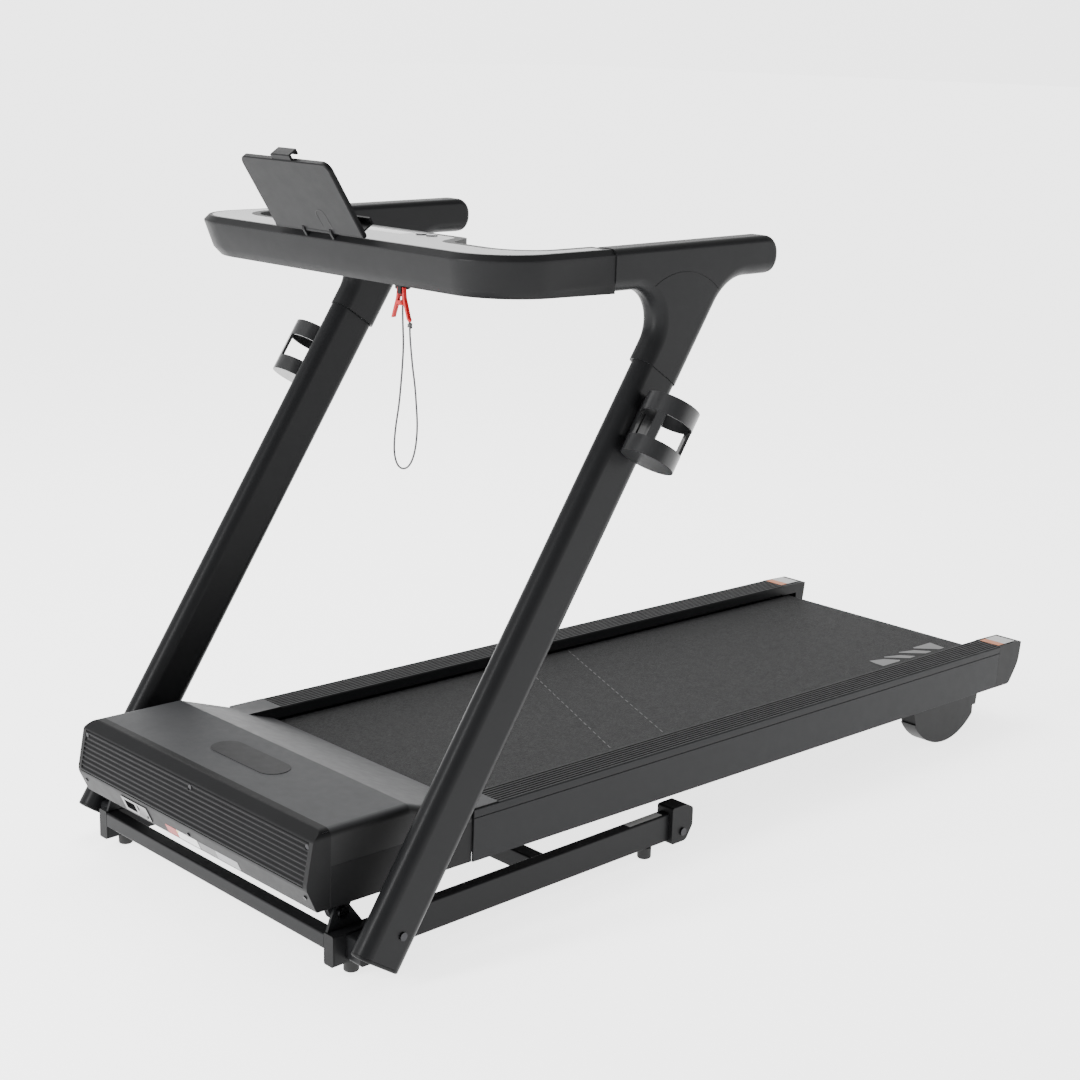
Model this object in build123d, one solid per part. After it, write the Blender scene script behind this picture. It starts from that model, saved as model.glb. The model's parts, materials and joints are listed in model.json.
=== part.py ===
"""Folding treadmill: low base frame, raked uprights, U-shaped console and a deck that folds up.

Millimetres. +Z is up, -Y is the front (motor hood), +Y is the step-on end and +X is the user's
left. The origin is on the floor, below the middle of the whole machine. Deck pieces are drawn
level, with h = 0 at the top of the foot rails, and then laid on the deck's slight slope.
"""
import math
import os

from build123d import *

# ---- driving dimensions ------------------------------------------------------------------
# deck
DECK_TOP = 183.7          # height of the foot rails' top at y = 0
DECK_SLOPE = -1.03        # degrees about X: the step-on end is the lower one
DECK_HALF = 315.0         # half width over the foot rails
RAIL_INNER = 256.0        # half width between the foot rails
RAIL_HEIGHT = 87.0
RAIL_FRONT, RAIL_REAR = -600.0, 842.0
RIB_FRONT = -548.0        # the hood's wings cover the rails ahead of this
DECK_REAR = 921.0
BELT_TOP = -24.0          # walking surface below the rail tops
BELT_HALF = 254.0
BELT_THICK = 2.0
ROLLER_RADIUS = 24.0
FRONT_ROLLER_Y, REAR_ROLLER_Y = -640.0, 858.0
ROLLER_H = BELT_TOP - BELT_THICK - ROLLER_RADIUS
BOARD_THICK = 18.0
DECK_TUBE_INNER, DECK_TUBE_OUTER = 266.0, 290.0
DECK_TUBE_BOTTOM, DECK_TUBE_TOP = -84.0, -46.0
FOLD_Y, FOLD_Z = -850.0, 96.0   # hinge the deck folds up about

# motor hood
HOOD_FRONT, HOOD_REAR = -901.0, -563.0
HOOD_TOP = 37.0           # above the rail tops
HOOD_FLAT_REAR = -727.0
HOOD_SIDE_BOTTOM = -21.0
HOOD_BOTTOM = -87.0
HOOD_HALF = 312.0
HOOD_SHOULDER = 14.0
SCREW_X = (-299.0, 0.0, 299.0)
SCREW_H, SCREW_SEAT_Y = 14.4, -907.9
WALL = 3.0

# motor drive
MOTOR_Y, MOTOR_H, MOTOR_RADIUS = -775.0, -32.0, 42.0
MOTOR_PULLEY, ROLLER_PULLEY = 14.0, 28.0
PULLEY_LEFT, PULLEY_RIGHT = -264.0, -258.0

# base frame
TUBE_INNER, TUBE_OUTER = 298.0, 320.0
TUBE_BOTTOM, TUBE_TOP = 20.0, 70.0
TUBE_FRONT, TUBE_REAR = -879.0, -154.0
FOOT_RADIUS = 12.0
WHEEL_Y, WHEEL_Z, WHEEL_RADIUS = -127.0, 33.0, 23.0
HOUSING_REAR = -102.0

# uprights
RAKE = 33.66              # degrees back from vertical
UPRIGHT_X = 374.0         # centre of the tube
UPRIGHT_WIDTH = 40.0
UPRIGHT_DEPTH = 88.0
UPRIGHT_ROUND = 19.0
UPRIGHT_FOOT_Y = -811.0   # where the rake line meets the floor
UPRIGHT_CENTRE = -49.5    # tube centre, square to the rake line
UPRIGHT_LOW, UPRIGHT_HIGH = 16.0, 1050.0
SLEEVE_LOW = 996.0

# handles and console
HANDLE_X = 372.0
HANDLE_WIDTH = 47.0
HANDLE_BOTTOM, HANDLE_TOP = 995.0, 1057.0
HANDLE_END = -36.0
ARM_END = -412.0          # where the console's arm meets the handle
CONSOLE_HALF = 394.0
CONSOLE_FRONT = -650.0
CONSOLE_BOTTOM, CONSOLE_BREAK, CONSOLE_SEAM, CONSOLE_TOP = 988.0, 1001.0, 1043.0, 1053.0
ARM_INNER = 342.0
CONSOLE_INNER = -556.0    # inside edge of the bow, beside the display
TONGUE_HALF, TONGUE_REAR = 160.0, -494.0
WINDOW = (-58.0, 58.0, -546.0, -514.0)     # of the display: x and y limits
BUTTONS = {
    "start_button": (-105.0, -522.0),
    "stop_button": (105.0, -522.0),
    "speed_up_button": (-80.0, -522.0),
    "speed_down_button": (80.0, -522.0),
}

# cup holders
CUP_X, CUP_Q = 441.0, -48.0
CUP_RADIUS = 43.0
CUP_LOW, CUP_HIGH = 853.0, 953.0

# tablet holder
TABLET_LEAN = 33.0
TABLET_HALF, TABLET_LENGTH, TABLET_THICK = 109.0, 132.0, 8.0
TABLET_X, TABLET_Y, TABLET_Z = -10.0, -651.0, 1053.8

# safety key under the console, its cord and the clip parked beside it
KEY_X, KEY_Y = 130.0, -600.0
KEY_TOP = 998.0
CORD_RADIUS = 1.5
CLIP_X, CLIP_Y, CLIP_Z = 150.0, -619.0, 962.0   # the clip's pivot

# power switch and inlet, on the slanted lower face of the front panel
INLET_LEFT, INLET_RIGHT = -185.0, -115.0

CLEAR = 0.05              # running clearance on a radius
GAP = 0.4                 # between parts that move past each other

os.makedirs("parts", exist_ok=True)
BOTTOM = (Align.CENTER, Align.CENTER, Align.MIN)


# ---- helpers -----------------------------------------------------------------------------
def save(name, shape):
    """Write one sub-part."""
    export_step(shape, f"parts/{name}.step")


def block(x0, x1, y0, y1, z0, z1):
    """Box between two opposite corners."""
    centre = Pos((x0 + x1) / 2, (y0 + y1) / 2, (z0 + z1) / 2)
    return centre * Box(x1 - x0, y1 - y0, z1 - z0)


def bar(start, end, radius):
    """Round bar between two points."""
    axis = Vector(*end) - Vector(*start)
    return Plane(origin=start, z_dir=axis) * Cylinder(radius, axis.length, align=BOTTOM)


def cross_bar(x0, x1, y, z, radius):
    """Round bar along X."""
    return bar((x0, y, z), (x1, y, z), radius)


def side_prism(points, x0, x1, radii=0):
    """Prism along X from an outline of (y, z) points, its corners rounded by radii."""
    edge = FilletPolyline(*points, radius=radii, close=True)
    face = Plane.YZ * make_face(edge)
    return Pos(x0, 0, 0) * extrude(face, amount=x1 - x0, dir=(1, 0, 0))


def plan_prism(points, z0, z1, radii=0):
    """Prism along Z from an outline of (x, y) points, its corners rounded by radii."""
    edge = FilletPolyline(*points, radius=radii, close=True)
    return Pos(0, 0, z0) * extrude(make_face(edge), amount=z1 - z0, dir=(0, 0, 1))


def other_side(shape):
    """The same piece on the user's right."""
    return mirror(shape, about=Plane.YZ)


def both(shape):
    """A piece on each side of the machine."""
    return shape + other_side(shape)


def on_deck(shape):
    """Lay a piece drawn level on the deck's slope."""
    return Pos(0, 0, DECK_TOP) * Rot(DECK_SLOPE, 0, 0) * shape


def on_upright(shape):
    """Stand a piece on the rake line: its Z runs up the upright and its Y square to it."""
    return Pos(0, UPRIGHT_FOOT_Y, 0) * Rot(-RAKE, 0, 0) * shape


def deck_level(y, z):
    """Level (y, h) of a point given in the machine's own axes."""
    a = math.radians(-DECK_SLOPE)
    drop = z - DECK_TOP
    return y * math.cos(a) - drop * math.sin(a), y * math.sin(a) + drop * math.cos(a)


# ---- base frame --------------------------------------------------------------------------
def base_tube():
    outer = block(TUBE_INNER, TUBE_OUTER, TUBE_FRONT + 3, TUBE_REAR, TUBE_BOTTOM, TUBE_TOP)
    outer = fillet(outer.edges().filter_by(Axis.Y), 3)
    hollow = block(TUBE_INNER + 2, TUBE_OUTER - 2, TUBE_FRONT, TUBE_REAR + 1, TUBE_BOTTOM + 2, TUBE_TOP - 2)
    return outer - hollow


def tube_plugs():
    """Plugs in the front ends of the base tubes."""
    plate = block(TUBE_INNER, TUBE_OUTER, TUBE_FRONT, TUBE_FRONT + 3, TUBE_BOTTOM, TUBE_TOP)
    stub = block(TUBE_INNER + 2.2, TUBE_OUTER - 2.2, TUBE_FRONT + 3, TUBE_FRONT + 15,
                 TUBE_BOTTOM + 2.2, TUBE_TOP - 2.2)
    plate = fillet(plate.edges().filter_by(Axis.Y), 3)
    return both(plate + stub)


def cross_tube(y0, y1, z0, z1):
    outer = block(-TUBE_INNER, TUBE_INNER, y0, y1, z0, z1)
    outer = fillet(outer.edges().filter_by(Axis.X), 3)
    return outer - block(-TUBE_INNER - 1, TUBE_INNER + 1, y0 + 2, y1 - 2, z0 + 2, z1 - 2)


def cross_tubes():
    """Front and middle cross tubes of the base frame."""
    return cross_tube(TUBE_FRONT, TUBE_FRONT + 25, 43, 68) + cross_tube(-456, -426, 34, 66)


def frame_brackets():
    """Hinge plates on the base tubes and lugs to the uprights."""
    y, z = FOLD_Y, FOLD_Z
    plate = side_prism([(y - 26, TUBE_TOP), (y + 40, TUBE_TOP), (y + 12, z + 12), (y - 12, z + 12)],
                       TUBE_INNER, TUBE_INNER + 5, [0, 0, 11, 11])
    plate -= cross_bar(TUBE_INNER - 1, TUBE_INNER + 6, y, z, 6)
    lug = block(TUBE_OUTER, UPRIGHT_X - UPRIGHT_WIDTH / 2, -855, -775, 26, 66)
    lug = fillet(lug.edges().filter_by(Axis.X), 6)
    return both(plate + lug)


def frame_bolts():
    """Hinge bolts, the wheels' axles and the bolts of the uprights."""
    hinge = cross_bar(284, TUBE_INNER + 5, FOLD_Y, FOLD_Z, 6)
    hinge += cross_bar(TUBE_INNER + 5, TUBE_INNER + 12, FOLD_Y, FOLD_Z, 10)
    face = UPRIGHT_X + UPRIGHT_WIDTH / 2
    upright_bolt = cross_bar(face, face + 3, -808, 77, 6.5)
    axle = cross_bar(TUBE_INNER - 6, TUBE_OUTER + 8, WHEEL_Y, WHEEL_Z, 4)
    axle += cross_bar(TUBE_OUTER + 8, TUBE_OUTER + 11, WHEEL_Y, WHEEL_Z, 7)
    return both(hinge + upright_bolt + axle)


def foot_pads():
    """Rubber feet under the base tubes."""
    x = (TUBE_INNER + TUBE_OUTER) / 2
    pads = None
    for y in (-836.0, -202.0):
        pad = Pos(x, y, 0) * Cylinder(FOOT_RADIUS, TUBE_BOTTOM, align=BOTTOM)
        pad = fillet(pad.edges().sort_by(Axis.Z)[:1], 3)
        pads = both(pad) if pads is None else pads + both(pad)
    return pads


def wheel_housing():
    """Fork at the rear end of a base tube, closed on top, open below for the wheel."""
    y0, y1 = TUBE_REAR, HOUSING_REAR
    outline = [(y0, 15), (y1 - 16, 15), (y1, 40), (y1, 72), (y1 - 16, 81), (y0, 81)]
    body = side_prism(outline, TUBE_INNER - 6, TUBE_OUTER + 8, [4, 12, 10, 8, 6, 4])
    slot = block(TUBE_INNER + 1, TUBE_OUTER + 1, y0 + 3, y1 + 1, 0, WHEEL_Z + WHEEL_RADIUS + 2)
    bore = cross_bar(TUBE_INNER - 7, TUBE_OUTER + 9, WHEEL_Y, WHEEL_Z, 4)
    return body - slot - bore


def transport_wheel():
    x0, x1 = TUBE_INNER + 2, TUBE_OUTER
    wheel = cross_bar(x0, x1, WHEEL_Y, WHEEL_Z, WHEEL_RADIUS)
    wheel = fillet(wheel.edges().filter_by(GeomType.CIRCLE), 3)
    groove = cross_bar(x1 - 3, x1 + 1, WHEEL_Y, WHEEL_Z, 15)
    groove -= cross_bar(x1 - 3, x1 + 1, WHEEL_Y, WHEEL_Z, 9)
    return wheel - groove - cross_bar(x0 - 1, x1 + 1, WHEEL_Y, WHEEL_Z, 4 + CLEAR)


# ---- uprights and handles ----------------------------------------------------------------
def upright_section(grow=0.0):
    return RectangleRounded(UPRIGHT_WIDTH + 2 * grow, UPRIGHT_DEPTH + 2 * grow, UPRIGHT_ROUND + grow)


def upright_column(low, high, grow=0.0):
    """Solid length of the upright's section, standing on the rake line."""
    column = extrude(upright_section(grow), amount=high - low, dir=(0, 0, 1))
    return on_upright(Pos(UPRIGHT_X, UPRIGHT_CENTRE, low) * column)


def upright():
    return upright_column(UPRIGHT_LOW, UPRIGHT_HIGH) - upright_column(UPRIGHT_LOW - 1, UPRIGHT_HIGH + 1, -2)


def upright_plugs():
    """Moulded plugs that close the uprights at the floor."""
    cap = extrude(upright_section(), amount=5, dir=(0, 0, 1))
    cap = fillet(cap.faces().sort_by(Axis.Z)[0].edges(), 3)
    cap = on_upright(Pos(UPRIGHT_X, UPRIGHT_CENTRE, UPRIGHT_LOW - 5) * cap)
    return both(cap + upright_column(UPRIGHT_LOW, UPRIGHT_LOW + 20, -2.2))


def rake_point(across, along):
    """(y, z) of a point on the upright's side view."""
    a = math.radians(RAKE)
    y = UPRIGHT_FOOT_Y + along * math.sin(a) + across * math.cos(a)
    return y, along * math.cos(a) - across * math.sin(a)


def joint_layer(front, back, handle_end, handle_top, round_end, under, rim):
    """Prism of the Y-shaped joint: its lower end runs along the upright, its rims are rounded."""
    points = [
        (*rake_point(front, SLEEVE_LOW - 40), 0), (*rake_point(back, SLEEVE_LOW - 40), 0),
        (-152.5, HANDLE_BOTTOM, 90), (handle_end, HANDLE_BOTTOM, round_end),
        (handle_end, handle_top, round_end),
        (ARM_END, handle_top - 3, 0), (ARM_END, under, 0), (-266, under, 52),
    ]
    half = HANDLE_WIDTH / 2
    prism = side_prism([(y, z) for y, z, _ in points], HANDLE_X - half, HANDLE_X + half,
                       [r for _, _, r in points])
    rims = prism.faces().filter_by(Axis.X).edges()
    return fillet([e for e in rims if abs(e.center().Y - ARM_END) > 1], rim)


def joint_body():
    """Whole joint and handle, before it is parted: full round below, with a flatter top on the handle."""
    across = UPRIGHT_CENTRE
    reach = UPRIGHT_DEPTH / 2 + 1.5
    front, back = across - reach, across + reach
    low = joint_layer(front, back, HANDLE_END + 60, HANDLE_TOP + 100, 0, HANDLE_BOTTOM - 6, 20)
    top = joint_layer(front - 14, back, HANDLE_END, HANDLE_TOP, 29, HANDLE_BOTTOM - 9, 11)
    return low & top


def parting_drum(radius=120.0):
    """Big cylinder whose arc parts the sleeve from the handle."""
    return cross_bar(HANDLE_X - 40, HANDLE_X + 40, -262, 892, radius)


def joint_pieces():
    """Handle and sleeve of the user's left side."""
    body = joint_body()
    below = on_upright(block(UPRIGHT_X - 100, UPRIGHT_X + 100, -300, 300, SLEEVE_LOW - 400, SLEEVE_LOW))
    pocket = upright_column(SLEEVE_LOW - 10, UPRIGHT_HIGH + 1)
    half = HANDLE_WIDTH / 2
    groove = parting_drum(120.5) - parting_drum(119.5)
    groove -= block(HANDLE_X - half + 0.8, HANDLE_X + half - 0.8, -500, 0, 700, 1100)
    body = body - below - groove
    sleeve = (body & parting_drum()) - pocket
    handle = body - parting_drum() - pocket
    return handle, sleeve


# ---- console -----------------------------------------------------------------------------
def console_outline(inset=0.0, draw=0.0):
    """Plan (x, y, corner radius) of the U-shaped console; draw pulls in its front, which leans in below."""
    c = inset
    left = [
        (CONSOLE_HALF - c, ARM_END - c, 0), (CONSOLE_HALF - c - draw, CONSOLE_FRONT + c + draw, 105 - c),
    ]
    inside = [
        (TONGUE_HALF - c, TONGUE_REAR - c, 22 - c / 2), (TONGUE_HALF + 30 - c, CONSOLE_INNER - c, 22 + c),
        (ARM_INNER + c, CONSOLE_INNER - c, 70 + c), (ARM_INNER + c, ARM_END - c, 0),
    ]
    right = [(-x, y, r) for x, y, r in reversed(inside + left)]
    return left + right + inside


def console_slab(z0, z1, inset=0.0, draw=0.0):
    points = console_outline(inset, draw)
    return plan_prism([(x, y) for x, y, _ in points], z0, z1, [r for _, _, r in points])


def console_layer(z0, z1, draw0, draw1):
    """Part of the housing between two heights, its front drawn in by a different amount at each."""
    faces = []
    for z, draw in ((z0, draw0), (z1, draw1)):
        points = console_outline(0, draw)
        edge = FilletPolyline(*[(x, y) for x, y, _ in points], radius=[r for _, _, r in points], close=True)
        faces.append(Pos(0, 0, z) * make_face(edge))
    return loft(faces, ruled=True)


def outer_edges(shape, height):
    """Edges of the console's outer rim at one height: the front, the corners and the arms' outsides."""
    found = []
    for edge in shape.edges():
        centre = edge.center()
        flat = abs(centre.Z - height) < 0.01
        outside = centre.Y < CONSOLE_FRONT + 60 or abs(centre.X) > CONSOLE_HALF - 1
        if flat and outside and centre.Y < ARM_END - 1:
            found.append(edge)
    return found


def console_housing():
    """Lower half of the console, with the key's socket and a fin that the clip is parked on."""
    body = console_layer(CONSOLE_BOTTOM, CONSOLE_BREAK, 24, 13)
    body += console_layer(CONSOLE_BREAK, CONSOLE_SEAM, 13, 0)
    body -= console_slab(CONSOLE_BOTTOM + WALL, CONSOLE_SEAM + 1, 12, 15)
    body += Pos(KEY_X, KEY_Y, CONSOLE_BOTTOM + WALL) * Cylinder(16, 10.3, align=BOTTOM)
    socket = Cylinder(13, KEY_TOP + 0.3 - CONSOLE_BOTTOM + 1, align=BOTTOM)
    body -= Pos(KEY_X, KEY_Y, CONSOLE_BOTTOM - 1) * socket
    return body + block(CLIP_X - 4, CLIP_X + 4, CLIP_Y - 5, CLIP_Y + 5, CONSOLE_BOTTOM - 12, CONSOLE_BOTTOM)


def console_cover():
    body = console_slab(CONSOLE_SEAM, CONSOLE_TOP)
    body = chamfer(outer_edges(body, CONSOLE_TOP), 8)
    body -= console_slab(CONSOLE_TOP - 2, CONSOLE_TOP + 1, 14)
    for place in BUTTONS.values():
        body -= Pos(*place, CONSOLE_SEAM - 1) * Cylinder(9 + GAP, 12, align=BOTTOM)
    return body


def control_panel():
    """Gloss sheet let into the top of the console, with a window for the display."""
    sheet = console_slab(CONSOLE_TOP - 2, CONSOLE_TOP, 14.2)
    sheet -= block(*WINDOW, CONSOLE_TOP - 3, CONSOLE_TOP + 1)
    for place in BUTTONS.values():
        sheet -= Pos(*place, CONSOLE_TOP - 3) * Cylinder(9 + GAP, 5, align=BOTTOM)
    return sheet


def display_window():
    return block(*WINDOW, CONSOLE_TOP - 2, CONSOLE_TOP - 0.3)


def display_board():
    """Circuit board on four posts in the console."""
    board = block(-125, 125, -552, -510, 1018, 1020)
    for x in (-110, 110):
        for y in (-545, -517):
            post = Cylinder(4, 1018 - CONSOLE_BOTTOM - WALL, align=BOTTOM)
            board += Pos(x, y, CONSOLE_BOTTOM + WALL) * post
    return board


def button(x, y):
    """Round key cap with a stem; it travels 1.5 mm."""
    cap = Pos(x, y, CONSOLE_SEAM + 2) * Cylinder(9, CONSOLE_TOP - CONSOLE_SEAM - 0.5, align=BOTTOM)
    cap = fillet(cap.edges().sort_by(Axis.Z)[-1:], 0.8)
    return cap + Pos(x, y, 1023) * Cylinder(3, CONSOLE_SEAM + 2 - 1023, align=BOTTOM)


# ---- tablet holder -----------------------------------------------------------------------
def on_tablet(shape):
    """Lean a piece drawn upright at the tablet holder's foot."""
    return Pos(TABLET_X, TABLET_Y, TABLET_Z) * Rot(TABLET_LEAN, 0, 0) * shape


def tablet_plate():
    """Leaning plate with a ledge for the tablet and a rounded rim."""
    edge = FilletPolyline((-TABLET_HALF, 3), (TABLET_HALF, 3), (TABLET_HALF, TABLET_LENGTH),
                          (-TABLET_HALF, TABLET_LENGTH), radius=[0, 0, 14, 14], close=True)
    plate = extrude(Plane.XZ * make_face(edge), amount=TABLET_THICK, dir=(0, 1, 0))
    rim = plate.faces().sort_by(Axis.Y)[0].edges()
    plate = chamfer([e for e in rim if e.center().Z > 4], 1.5)
    plate -= block(-24, 24, 1.5, TABLET_THICK - 1.5, 80, TABLET_LENGTH + 1)
    tray = block(-TABLET_HALF, TABLET_HALF, TABLET_THICK, TABLET_THICK + 20, 8, 11)
    tray += block(-TABLET_HALF, TABLET_HALF, TABLET_THICK + 17, TABLET_THICK + 20, 11, 20)
    barrel = cross_bar(-TABLET_HALF, TABLET_HALF, TABLET_THICK / 2, 3, TABLET_THICK / 2)
    barrel += cross_bar(-30, 30, TABLET_THICK / 2, 3, 5)
    notch = both(cross_bar(30.4, 36.6, TABLET_THICK / 2, 3, 7.8))
    return on_tablet(plate + barrel + tray - cross_bar(-31, 31, TABLET_THICK / 2, 3, 2.5 + CLEAR) - notch)


def tablet_clip():
    """Spring clip that slides out of the plate's top and hooks over the tablet."""
    tongue = block(-23.7, 23.7, 1.8, TABLET_THICK - 1.8, 92, TABLET_LENGTH + 8)
    hook = block(-22, 22, TABLET_THICK - 5, TABLET_THICK + 12, TABLET_LENGTH + 6, TABLET_LENGTH + 9)
    lip = block(-22, 22, TABLET_THICK + 9, TABLET_THICK + 12, TABLET_LENGTH, TABLET_LENGTH + 6)
    return on_tablet(tongue + hook + lip)


def tablet_bracket():
    """Foot of the holder: two ears on the console and the hinge pin between them."""
    ear = cross_bar(31, 36, TABLET_THICK / 2, 3, 7) + block(31, 36, -3, 11, -10, 3)
    pin = cross_bar(-36, 36, TABLET_THICK / 2, 3, 2.5)
    console = console_slab(CONSOLE_TOP - 60, CONSOLE_TOP)
    return on_tablet(both(ear) + pin) - chamfer(outer_edges(console, CONSOLE_TOP), 8)


# ---- cup holders -------------------------------------------------------------------------
def cup_holder():
    """Clip-on holder: open ring, three bars and a shallow cup, clamped to the upright's outside."""
    def tube(low, high, outer, inner):
        return Pos(CUP_X, CUP_Q, low) * (Cylinder(outer, high - low, align=BOTTOM)
                                         - Cylinder(inner, high - low, align=BOTTOM))
    ring = tube(CUP_HIGH - 30, CUP_HIGH, CUP_RADIUS, CUP_RADIUS - 3)
    cup = tube(CUP_LOW, CUP_LOW + 28, CUP_RADIUS, CUP_RADIUS - 3)
    floor = Pos(CUP_X, CUP_Q, CUP_LOW) * Cylinder(CUP_RADIUS - 3, 3, align=BOTTOM)
    bars = None
    for angle in (-62, 62, 180):
        strip = block(CUP_RADIUS - 5.5, CUP_RADIUS - 0.5, -7, 7, CUP_LOW + 26, CUP_HIGH - 28)
        strip = Pos(CUP_X, CUP_Q, 0) * Rot(0, 0, angle) * strip
        bars = strip if bars is None else bars + strip
    face = UPRIGHT_X + UPRIGHT_WIDTH / 2
    pad = block(face, CUP_X - CUP_RADIUS + 4, CUP_Q - 16, CUP_Q + 16, CUP_LOW + 12, CUP_HIGH - 8)
    hollow = Pos(CUP_X, CUP_Q, CUP_LOW + 3) * Cylinder(CUP_RADIUS - 3, 120, align=BOTTOM)
    return on_upright(ring + cup + floor + bars + (pad - hollow))


# ---- deck structure ----------------------------------------------------------------------
def foot_rail():
    """Extruded foot rail: ribbed top, lip beside the belt, grooved outer wall and a web to stand on."""
    y0, y1 = RAIL_FRONT, RAIL_REAR
    rail = block(RAIL_INNER, DECK_HALF, y0, y1, -5, -1.5)
    rail += block(DECK_HALF - 3.5, DECK_HALF, y0, y1, -RAIL_HEIGHT, -1.5)
    rail += block(RAIL_INNER, RAIL_INNER + 3, y0, y1, -20, -1.5)
    rail += block(DECK_TUBE_OUTER - 3, DECK_TUBE_OUTER, y0, y1, DECK_TUBE_TOP, -5)
    pitch = (DECK_HALF - RAIL_INNER) / 8
    for i in range(8):
        x = RAIL_INNER + (i + 0.5) * pitch
        rail += block(x - 2.4, x + 2.4, RIB_FRONT, y1, -1.5, 0)
    return rail - block(DECK_HALF - 1.2, DECK_HALF + 1, y0 - 1, y1 + 1, -15.5, -13.5)


def rail_end_caps():
    """Moulded caps over the step-on end of the rails, open below; the rear edge curves down and in."""
    y0, y1 = RAIL_REAR, DECK_REAR
    outline = [(y0, 0), (y1, -2), (y1 - 5, -45), (y1 - 34, -RAIL_HEIGHT), (y0, -RAIL_HEIGHT)]
    cap = side_prism(outline, RAIL_INNER, DECK_HALF, [0, 2, 60, 14, 0])
    low = -RAIL_HEIGHT - 1
    inside = [(y0 - 1, -4), (y1 - 5, -6), (y1 - 10, -45), (y1 - 40, low), (y0 - 1, low)]
    cap -= side_prism(inside, RAIL_INNER + 4, DECK_HALF - 4)
    roller_way = block(RAIL_INNER - 1, RAIL_INNER + 5, y0 - 1, REAR_ROLLER_Y + 32, low, BELT_TOP + 2)
    return both(cap - roller_way)


def deck_frame():
    """Two long tubes and the crossbars between the belt's runs."""
    x0, x1 = DECK_TUBE_INNER, DECK_TUBE_OUTER
    low, high = DECK_TUBE_BOTTOM, DECK_TUBE_TOP
    tube = block(x0, x1, HOOD_FRONT + 25, 872, low, high)
    tube -= block(x0 + 2, x1 - 2, HOOD_FRONT + 24, 873, low + 2, high - 2)
    bars = [block(-x0, x0, y - 15, y + 15, -68, -50) for y in (-560, -250, 100, 450, 780)]
    return Compound([tube, other_side(tube)] + bars)


def hinge_ears():
    """Ears under the front of the deck tubes that turn on the hinge bolts."""
    y, h = deck_level(FOLD_Y, FOLD_Z)
    top = DECK_TUBE_BOTTOM
    ear = side_prism([(y - 27, top), (y + 28, top), (y + 13, h - 13), (y - 13, h - 13)],
                     285, 297.4, [0, 0, 12, 12])
    return both(ear - cross_bar(280, 300, y, h, 6 + CLEAR))


def deck_board():
    """Laminated board under the belt."""
    top = BELT_TOP - BELT_THICK - 0.3
    return block(-286, 286, FRONT_ROLLER_Y + 42, REAR_ROLLER_Y - 42, top - BOARD_THICK, top)


def deck_cushions():
    """Rubber blocks between the board and the deck tubes."""
    top = BELT_TOP - BELT_THICK - 0.3 - BOARD_THICK
    cushions = None
    for y in (-480, -60, 380, 760):
        pad = block(268, 284, y - 20, y + 20, DECK_TUBE_TOP, top)
        cushions = both(pad) if cushions is None else cushions + both(pad)
    return cushions


def running_belt():
    """Endless belt: its upper and lower runs and the wrap round each roller."""
    inner, outer = ROLLER_RADIUS + 0.1, ROLLER_RADIUS + BELT_THICK
    upper = block(-BELT_HALF, BELT_HALF, FRONT_ROLLER_Y, REAR_ROLLER_Y, ROLLER_H + inner, ROLLER_H + outer)
    lower = block(-BELT_HALF, BELT_HALF, FRONT_ROLLER_Y, REAR_ROLLER_Y, ROLLER_H - outer, ROLLER_H - inner)
    wraps = []
    for y, way in ((FRONT_ROLLER_Y, -1), (REAR_ROLLER_Y, 1)):
        ring = cross_bar(-BELT_HALF, BELT_HALF, y, ROLLER_H, outer)
        ring -= cross_bar(-BELT_HALF - 1, BELT_HALF + 1, y, ROLLER_H, inner)
        wraps.append(ring & block(-300, 300, *sorted((y, y + way * 40)), ROLLER_H - 40, ROLLER_H + 40))
    return Compound([upper, lower] + wraps)


def roller(y):
    """Steel drum that turns on a fixed shaft."""
    drum = cross_bar(-258, 258, y, ROLLER_H, ROLLER_RADIUS)
    return drum - cross_bar(-259, 259, y, ROLLER_H, 8 + CLEAR)


def front_roller():
    """Front drum with the drive belt's pulley on its end."""
    pulley = cross_bar(PULLEY_LEFT, PULLEY_RIGHT, FRONT_ROLLER_Y, ROLLER_H, ROLLER_PULLEY)
    pulley -= cross_bar(PULLEY_LEFT - 1, PULLEY_RIGHT + 1, FRONT_ROLLER_Y, ROLLER_H, 8 + CLEAR)
    return roller(FRONT_ROLLER_Y) + pulley


def roller_shafts():
    shafts = None
    for y in (FRONT_ROLLER_Y, REAR_ROLLER_Y):
        shaft = cross_bar(-DECK_TUBE_INNER, DECK_TUBE_INNER, y, ROLLER_H, 8)
        shafts = shaft if shafts is None else shafts + shaft
    return shafts


def rear_feet():
    """Half-round feet that the step-on end stands on, cut to the slope of the deck tubes."""
    def foot(x0, x1, k):
        legs = side_prism([(564 + k, 96), (578 + k, 56), (613, 56), (753, 56), (783 - k, 56), (790 - k, 96)],
                          x0, x1)
        sole = cross_bar(x0, x1, 681, 128, 128 - k) & block(x0, x1, 575 + k, 773 - k, 0, 57)
        return legs + sole
    deck = on_deck(block(200, 340, 400, 900, DECK_TUBE_BOTTOM, 40))
    return both(foot(272, 306, 0) - foot(276, 302, 4) - deck)


# ---- motor bay ---------------------------------------------------------------------------
def hood_profile(wall=0.0):
    """Side view (y, h) of the hood's outside, or of its inside when a wall is given."""
    low = HOOD_SIDE_BOTTOM - wall / 3
    return [
        (HOOD_FRONT + 24, low), (HOOD_FRONT + 24, HOOD_TOP - wall),
        (HOOD_FLAT_REAR - wall / 5, HOOD_TOP - wall),
        (HOOD_REAR - wall, -17 - wall / 3), (HOOD_REAR - 3 - wall, low),
    ]


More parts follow.
